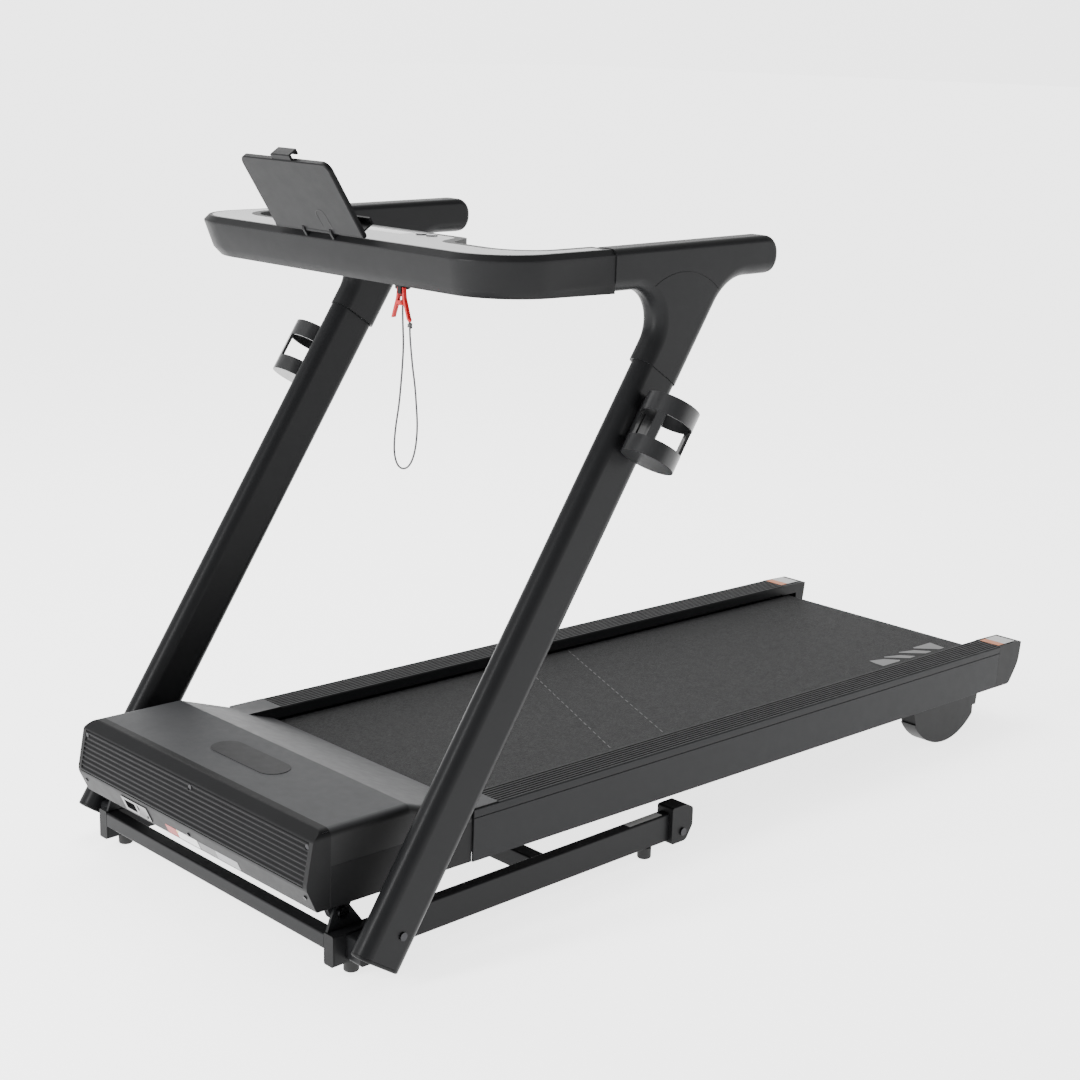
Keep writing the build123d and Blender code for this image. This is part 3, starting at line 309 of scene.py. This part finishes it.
MATERIALS = {
    "frame_paint": moulded("frame_paint", (0.0071, 0.0073, 0.0078), 0.36, 1900, 0.00004, 0.3,
                           Specular_IOR_Level=0.09),
    "rail_metal": moulded("rail_metal", (0.011, 0.0113, 0.0121), 0.42, 2200, 0.00003, 0.25,
                          Specular_IOR_Level=0.09),
    "bright_steel": brushed("bright_steel", (0.42, 0.42, 0.43), 0.3, (0.05, 1, 1)),
    "black_zinc": brushed("black_zinc", (0.03, 0.03, 0.032), 0.3, (0.3, 1, 1)),
    "gloss_black": moulded("gloss_black", (0.0112, 0.01144, 0.012), 0.3, 2400, 0.00001, 0.06,
                           0.04, Specular_IOR_Level=0.3, Coat_Weight=0.1),
    "shell_plastic": moulded("shell_plastic", (0.0067, 0.0068, 0.0072), 0.42, 1300, 0.00005, 0.35,
                             0.08, Specular_IOR_Level=0.09),
    "hood_plastic": hood_look(),
    "grip_plastic": moulded("grip_plastic", (0.0084, 0.0086, 0.0091), 0.4, 1500, 0.00004, 0.3,
                            0.08, Specular_IOR_Level=0.09),
    "gloss_panel": panel_look(),
    "smoke_window": moulded("smoke_window", (0.004, 0.004, 0.005), 0.1, 500, 0.00001, 0.1,
                            Coat_Weight=0.6),
    "button_plastic": moulded("button_plastic", (0.11, 0.11, 0.116), 0.35, 1800, 0.00003, 0.2,
                              Coat_Weight=0.3),
    "circuit": circuit_look(),
    "pad_rubber": moulded("pad_rubber", (0.012, 0.012, 0.012), 0.7, 900, 0.0001, 0.5,
                          Specular_IOR_Level=0.3),
    "wheel_plastic": moulded("wheel_plastic", (0.016, 0.016, 0.017), 0.5, 1200, 0.00005, 0.3),
    "belt_rubber": belt_look(),
    "board_wood": board_look(),
    "badge_plastic": moulded("badge_plastic", (0.014, 0.014, 0.015), 0.42, 2400, 0.00002, 0.15,
                             0.06, Specular_IOR_Level=0.15),
    "motor_paint": moulded("motor_paint", (0.03, 0.03, 0.033), 0.45, 1300, 0.00006, 0.4),
    "heat_sink": brushed("heat_sink", (0.4, 0.4, 0.42), 0.42, (1, 0.05, 1)),
    "switch_plastic": moulded("switch_plastic", (0.012, 0.012, 0.0125), 0.28, 2000, 0.00003, 0.2,
                              Coat_Weight=0.3),
    "clip_plastic": moulded("clip_plastic", (0.3, 0.004, 0.006), 0.34, 1500, 0.00003, 0.2,
                            0.06, Specular_IOR_Level=0.25),
    "cord_fabric": braid_look(),
}
LABEL_WHITE = moulded("label_white", (0.46, 0.46, 0.455), 0.4, 1800, 0.00002, 0.2, 0.03)
LABEL_ORANGE = moulded("label_orange", (0.5, 0.16, 0.06), 0.4, 1800, 0.00002, 0.2, 0.05)
LABEL_YELLOW = moulded("label_yellow", (0.5, 0.36, 0.03), 0.4, 1800, 0.00002, 0.2, 0.05)
LABEL_RED = moulded("label_red", (0.22, 0.014, 0.01), 0.4, 1800, 0.00002, 0.2, 0.05)
LABEL_DARK = moulded("label_dark", (0.06, 0.06, 0.062), 0.4, 1800, 0.00002, 0.2, 0.05)
LABEL_GREY = moulded("label_grey", (0.16, 0.16, 0.165), 0.4, 1800, 0.00002, 0.2, 0.05)
PRINT_GREY = moulded("print_grey", (0.16, 0.16, 0.16), 0.55, 1400, 0.00005, 0.4, 0.06)
SEAM_GREY = moulded("seam_grey", (0.08, 0.08, 0.08), 0.6, 1400, 0.00005, 0.4, 0.1)
# Near-black for recesses and groove lines drawn flat: painted shade.
GROOVE_SHADE = moulded("groove_shade", (0.005, 0.005, 0.005), 0.6, 1200, 0.00004, 0.3)
SYMBOL = moulded("symbol_white", (0.75, 0.76, 0.78), 0.4, 1600, 0.00002, 0.2, 0.03)


# ---- mesh helpers --------------------------------------------------------------------------
def add_object(name, data, body, material):
    obj = bpy.data.objects.new(name, data)
    bpy.context.scene.collection.objects.link(obj)
    obj.data.materials.append(material)
    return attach(obj, body)


def soften(obj, width):
    """Round a piece's hard edges, which gives them the highlights of a real moulding."""
    weld = obj.modifiers.new("weld", "WELD")
    weld.merge_threshold = 0.00001
    bevel = obj.modifiers.new("bevel", "BEVEL")
    bevel.width = width
    bevel.segments = 2
    bevel.limit_method = "ANGLE"
    bevel.angle_limit = math.radians(32)
    normals = obj.modifiers.new("normals", "WEIGHTED_NORMAL")
    normals.weight = 80


def slab(bm, outline, low, high):
    """Closed plate between two heights from an (x, y) outline."""
    bottom = [bm.verts.new((x, y, low)) for x, y in outline]
    top = [bm.verts.new((x, y, high)) for x, y in outline]
    bm.faces.new(bottom[::-1])
    bm.faces.new(top)
    for i in range(len(outline)):
        j = (i + 1) % len(outline)
        bm.faces.new((bottom[i], bottom[j], top[j], top[i]))


def rounded(x0, x1, y0, y1, radius, steps=5):
    """Outline of a rectangle with round corners."""
    points = []
    for cx, cy, start in ((x1 - radius, y1 - radius, 0), (x0 + radius, y1 - radius, 90),
                          (x0 + radius, y0 + radius, 180), (x1 - radius, y0 + radius, 270)):
        for i in range(steps + 1):
            a = math.radians(start + 90 * i / steps)
            points.append((cx + radius * math.cos(a), cy + radius * math.sin(a)))
    return points


def plate(name, outlines, low, high, body, material, matrix=None):
    """Flat slabs between two heights, as one piece."""
    bm = bmesh.new()
    for outline in outlines:
        slab(bm, outline, low, high)
    bmesh.ops.recalc_face_normals(bm, faces=bm.faces)
    if matrix is not None:
        bm.transform(matrix)
    mesh = bpy.data.meshes.new(name)
    bm.to_mesh(mesh)
    bm.free()
    add_object(name, mesh, body, material)


def tube(name, points, radius, body, material, matrix=None):
    """Round wire or groove line along points."""
    curve = bpy.data.curves.new(name, "CURVE")
    curve.dimensions = "3D"
    curve.bevel_depth = radius
    curve.bevel_resolution = 3
    spline = curve.splines.new("POLY")
    spline.points.add(len(points) - 1)
    for target, point in zip(spline.points, points):
        place = Vector(point) if matrix is None else matrix @ Vector(point)
        target.co = (*place, 1)
    spline.use_smooth = True
    return add_object(name, curve, body, material)


# ---- cord ----------------------------------------------------------------------------------
CORD_ROUTE = [                       # millimetres, from the key to the clip
    (130, -600, 968), (130, -600, 950), (131, -600, 925), (132, -599, 895), (131, -600, 862),
    (129, -601, 832), (125, -601, 800), (119, -602, 768), (114, -601, 738), (114, -600, 718),
    (121, -599, 703), (134, -598, 700), (148, -598, 708), (159, -599, 725), (166, -600, 748),
    (168, -600, 776), (166, -601, 806), (166, -604, 836), (165, -608, 862), (166, -612, 886),
    (168, -616, 906), (170, -619, 922), (170, -619, 941),
]


def make_cord():
    curve = bpy.data.curves.new("lanyard", "CURVE")
    curve.dimensions = "3D"
    curve.bevel_depth = CORD_RADIUS
    curve.bevel_resolution = 4
    curve.resolution_u = 16
    spline = curve.splines.new("NURBS")
    spline.points.add(len(CORD_ROUTE) - 1)
    for target, point in zip(spline.points, CORD_ROUTE):
        target.co = (*(c / 1000 for c in point), 1)
    spline.order_u = 3
    spline.use_endpoint_u = True
    cord = add_object("lanyard", curve, "key", MATERIALS["cord_fabric"])
    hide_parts("safety_cord")
    ends = [NODES["clip_body"], NODES["clip_jaw"], tie_knot()]


def tie_knot():
    """Turns of cord round the clip's finger plate, drawn up tight."""
    x, y, z = KNOT_PLACE
    steps = 60
    points = []
    for i in range(steps + 1):
        turn = 2 * math.pi * KNOT_TURNS * i / steps
        across = (KNOT_RADIUS * math.cos(turn), KNOT_RADIUS * math.sin(turn))
        points.append((x + across[0], y + across[1], z + KNOT_HEIGHT * i / steps))
    return tube("lanyard_knot", points, KNOT_CORD_RADIUS, "key", MATERIALS["cord_fabric"])


make_cord()


# ---- CAD nodes -----------------------------------------------------------------------------
FINE = {
    "hood_screws": 0.0004, "clip_body": 0.0005, "clip_jaw": 0.0005, "display_window": 0.0003,
    "control_panel": 0.0004, "frame_bolts": 0.0008, "power_inlet": 0.0005, "power_switch": 0.0005,
    "tablet_clip": 0.0006, "tablet_bracket": 0.0006, "foot_rail_left": 0.0004,
    "foot_rail_right": 0.0004, "display_board": 0.0003, "running_belt": 0.0003,
    "safety_key": 0.0006, "transport_wheel_left": 0.0008, "transport_wheel_right": 0.0008,
}


def dress_nodes():
    for part in frame["record"]["subparts"]:
        name = part["node"]
        obj = NODES[name]
        obj.data.materials.clear()
        obj.data.materials.append(MATERIALS[part["material_slot"]])
        if name == "hood_badge":
            obj.modifiers.new("crisp", "EDGE_SPLIT").split_angle = math.radians(30)
        elif name != "safety_cord":
            soften(obj, FINE.get(name, EDGE))


dress_nodes()


# ---- belt markings -------------------------------------------------------------------------
BELT_BARS = [
    [(0.165, 0.605), (0.182, 0.601), (0.204, 0.6),
     (0.204, 0.655), (0.1995, 0.661), (0.176, 0.640)],
    [(0.166, 0.652), (0.170, 0.650), (0.204, 0.688),
     (0.204, 0.7075), (0.200, 0.7075), (0.179, 0.689)],
    [(0.1645, 0.704), (0.168, 0.702), (0.204, 0.742),
     (0.204, 0.763), (0.200, 0.764), (0.176, 0.742)],
    [(0.164, 0.755), (0.168, 0.753), (0.204, 0.792), (0.204, 0.809), (0.164, 0.815)],
]
SPLICE_LINES = [((-0.252, 0.028), (0.252, -0.206)), ((-0.252, 0.160), (0.252, -0.0725))]
SPLICE_DASHES = 23


def belt_prints():
    """Four slanted bars near the belt's step-on end, and the dashed lines of its splice."""
    low, high = BELT_TOP - 0.0001, BELT_TOP + 0.00025
    plate("belt_bars", BELT_BARS, low, high, "deck", PRINT_GREY, DECK)
    dashes = []
    for (x0, y0), (x1, y1) in SPLICE_LINES:
        along = Vector((x1 - x0, y1 - y0)) / SPLICE_DASHES
        across = Vector((-along.y, along.x)).normalized() * 0.0008
        for i in range(SPLICE_DASHES):
            start = Vector((x0, y0)) + along * (i + 0.2)
            end = start + along * 0.55
            dashes.append([start - across, end - across, end + across, start + across])
    plate("belt_splice", dashes, low, high, "deck", SEAM_GREY, DECK)


belt_prints()


# ---- labels, all blank ---------------------------------------------------------------------
def labels():
    low, high = RAIL_TOP, RAIL_TOP + STICKER
    for side, word in ((1, "left"), (-1, "right")):
        orange = rounded(*sorted((side * 0.264, side * 0.309)), 0.846, 0.866, 0.001)
        white = rounded(*sorted((side * 0.264, side * 0.309)), 0.8665, 0.904, 0.001)
        plate("end_label_" + word, [white], low, high, "deck", LABEL_WHITE, DECK)
        plate("end_label_orange_" + word, [orange], low, high, "deck", LABEL_ORANGE, DECK)
    tube_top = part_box("base_tube_left")[1].z
    patch = rounded(0.302, 0.316, -0.248, -0.168, 0.001)
    plate("tube_label", [patch], tube_top, tube_top + STICKER, "base", LABEL_WHITE)
    patches = (
        ("red", -0.069, -0.039, LABEL_RED), ("white", -0.038, 0.019, LABEL_WHITE),
        ("dark", 0.022, 0.0675, LABEL_DARK), ("grey", 0.068, 0.127, LABEL_GREY),
    )
    for word, x0, x1, material in patches:
        patch = rounded(x0, x1, -0.018, -0.0005, 0.001)
        plate("panel_label_" + word, [patch], 0.0, STICKER, "deck", material, SLANT)
    corner = [(-0.037, -0.0015), (-0.037, -0.008), (-0.0305, -0.0015)]
    plate("panel_label_corner", [corner], STICKER, STICKER + 0.0001, "deck", LABEL_YELLOW, SLANT)


labels()


def screw_recesses():
    """Cross recess in the head of each of the panel's six screws, as dark plates: painted shade.
    """
    half, thin = 0.0021, 0.0004
    ahead = DECK @ Matrix.Translation(SCREW_HEAD) @ Matrix.Rotation(math.radians(90), 4, "X")
    for word, matrix, y, z in (("upper", ahead, 0, 0), ("lower", SLANT, 0.004, 0.0016)):
        arms = []
        for x in SCREW_X:
            arms.append(rounded(x - half, x + half, y - thin, y + thin, 0.0002, 2))
            arms.append(rounded(x - thin, x + thin, y - half, y + half, 0.0002, 2))
        plate("screw_recess_" + word, arms, z - 0.0002, z + 0.0001, "deck", GROOVE_SHADE, matrix)


screw_recesses()


# ---- tablet holder -------------------------------------------------------------------------
def tablet_details():
    """Latch line on the outside of the plate, a dark line of painted shade for its groove."""
    lean = Matrix.Translation(TABLET_PLACE) @ Matrix.Rotation(math.radians(TABLET_LEAN), 4, "X")
    x, y, foot, bend, radius = 0.030, 0.0001, 0.012, 0.034, 0.011
    steps = 12
    points = [(x + radius, y, foot)]
    for i in range(steps + 1):
        a = math.radians(180 * i / steps)
        points.append((x + radius * math.cos(a), y, bend + radius * math.sin(a)))
    points.append((x - radius, y, foot))
    tube("tablet_latch", points, 0.0006, "tablet_holder", GROOVE_SHADE, matrix=lean)


tablet_details()


# ---- console symbols -----------------------------------------------------------------------
def symbols():
    def mark(name, node, body, outlines):
        low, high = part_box(node)
        centre = Vector(((low.x + high.x) / 2, (low.y + high.y) / 2, high.z))
        plate(name, outlines, -0.0001, 0.0002, body, SYMBOL, Matrix.Translation(centre))

    wide, thin = 0.0042, 0.0008
    dash = rounded(-wide, wide, -thin, thin, 0.0003, 2)
    post = rounded(-thin, thin, -wide, wide, 0.0003, 2)
    arrow = [(0.0040, 0), (-0.0028, 0.0040), (-0.0028, -0.0040)]
    square = rounded(-0.0032, 0.0032, -0.0032, 0.0032, 0.0005)
    mark("start_symbol", "start_button", "start_key", [arrow])
    mark("stop_symbol", "stop_button", "stop_key", [square])
    mark("up_symbol", "speed_up_button", "speed_up_key", [dash, post])
    mark("down_symbol", "speed_down_button", "speed_down_key", [dash])


symbols()


# ---- floor and light -----------------------------------------------------------------------
def make_floor():
    bm = bmesh.new()
    half = FLOOR_HALF
    slab(bm, [(-half, -half), (half, -half), (half, half), (-half, half)], -0.02, 0)
    mesh = bpy.data.meshes.new("floor")
    bm.to_mesh(mesh)
    bm.free()
    floor = bpy.data.objects.new("floor", mesh)
    s = Shader("floor", 0.9, Emission_Color=(1, 1, 1, 1), Emission_Strength=FLOOR_GLOW,
               Specular_IOR_Level=0.0)
    tint = s.blend(s.spread(s.noise(3, 2), 0, 1), (0.88, 0.88, 0.88), (0.9, 0.9, 0.9))
    floor.data.materials.append(s.finish(tint))
    bpy.context.scene.collection.objects.link(floor)


def area_light(name, place, target, size, power):
    data = bpy.data.lights.new(name, "AREA")
    data.shape = "RECTANGLE"
    data.size, data.size_y = size
    data.energy = power
    light = bpy.data.objects.new(name, data)
    light.location = place
    light.rotation_euler = (Vector(target) - Vector(place)).to_track_quat("-Z", "Y").to_euler()
    bpy.context.scene.collection.objects.link(light)


def make_light():
    """Sky that is bright on the walker's right and overhead; a pale band meets the floor."""
    world = bpy.data.worlds.new("studio")
    world.use_nodes = True
    tree = world.node_tree

    def step(operation, *values):
        node = tree.nodes.new("ShaderNodeMath")
        node.operation = operation
        for socket, value in zip(node.inputs, values):
            if isinstance(value, (int, float)):
                socket.default_value = value
            else:
                tree.links.new(value, socket)
        return node.outputs[0]

    def ramp(value, start, end, low, high):
        node = tree.nodes.new("ShaderNodeMapRange")
        for socket, number in zip(node.inputs[1:5], (start, end, low, high)):
            socket.default_value = number
        tree.links.new(value, node.inputs[0])
        return node.outputs[0]

    split = tree.nodes.new("ShaderNodeSeparateXYZ")
    tree.links.new(tree.nodes.new("ShaderNodeTexCoord").outputs["Generated"], split.inputs[0])
    x, y, z = split.outputs
    ahead_and_up = step("ADD", step("MULTIPLY", y, -0.1), step("MULTIPLY", z, 0.5))
    lean = step("ADD", step("MULTIPLY", x, -0.75), ahead_and_up)
    sky = ramp(lean, -0.4, 0.6, SKY_LOW, SKY_HIGH)
    band = ramp(step("ABSOLUTE", z), 0.02, 0.2, HORIZON_GLOW, 0.0)
    tree.links.new(step("ADD", sky, band), tree.nodes["Background"].inputs["Strength"])
    tree.nodes["Background"].inputs["Color"].default_value = (1, 1, 1, 1)
    bpy.context.scene.world = world
    area_light("key", (-1.8, 0.6, 3.4), (0, -0.2, 0.4), (2.6, 2.6), KEY_WATTS)
    area_light("strip", (-0.3, -3.6, 1.3), (0.1, -0.6, 0.6), (0.5, 2.6), STRIP_WATTS)


make_floor()
make_light()
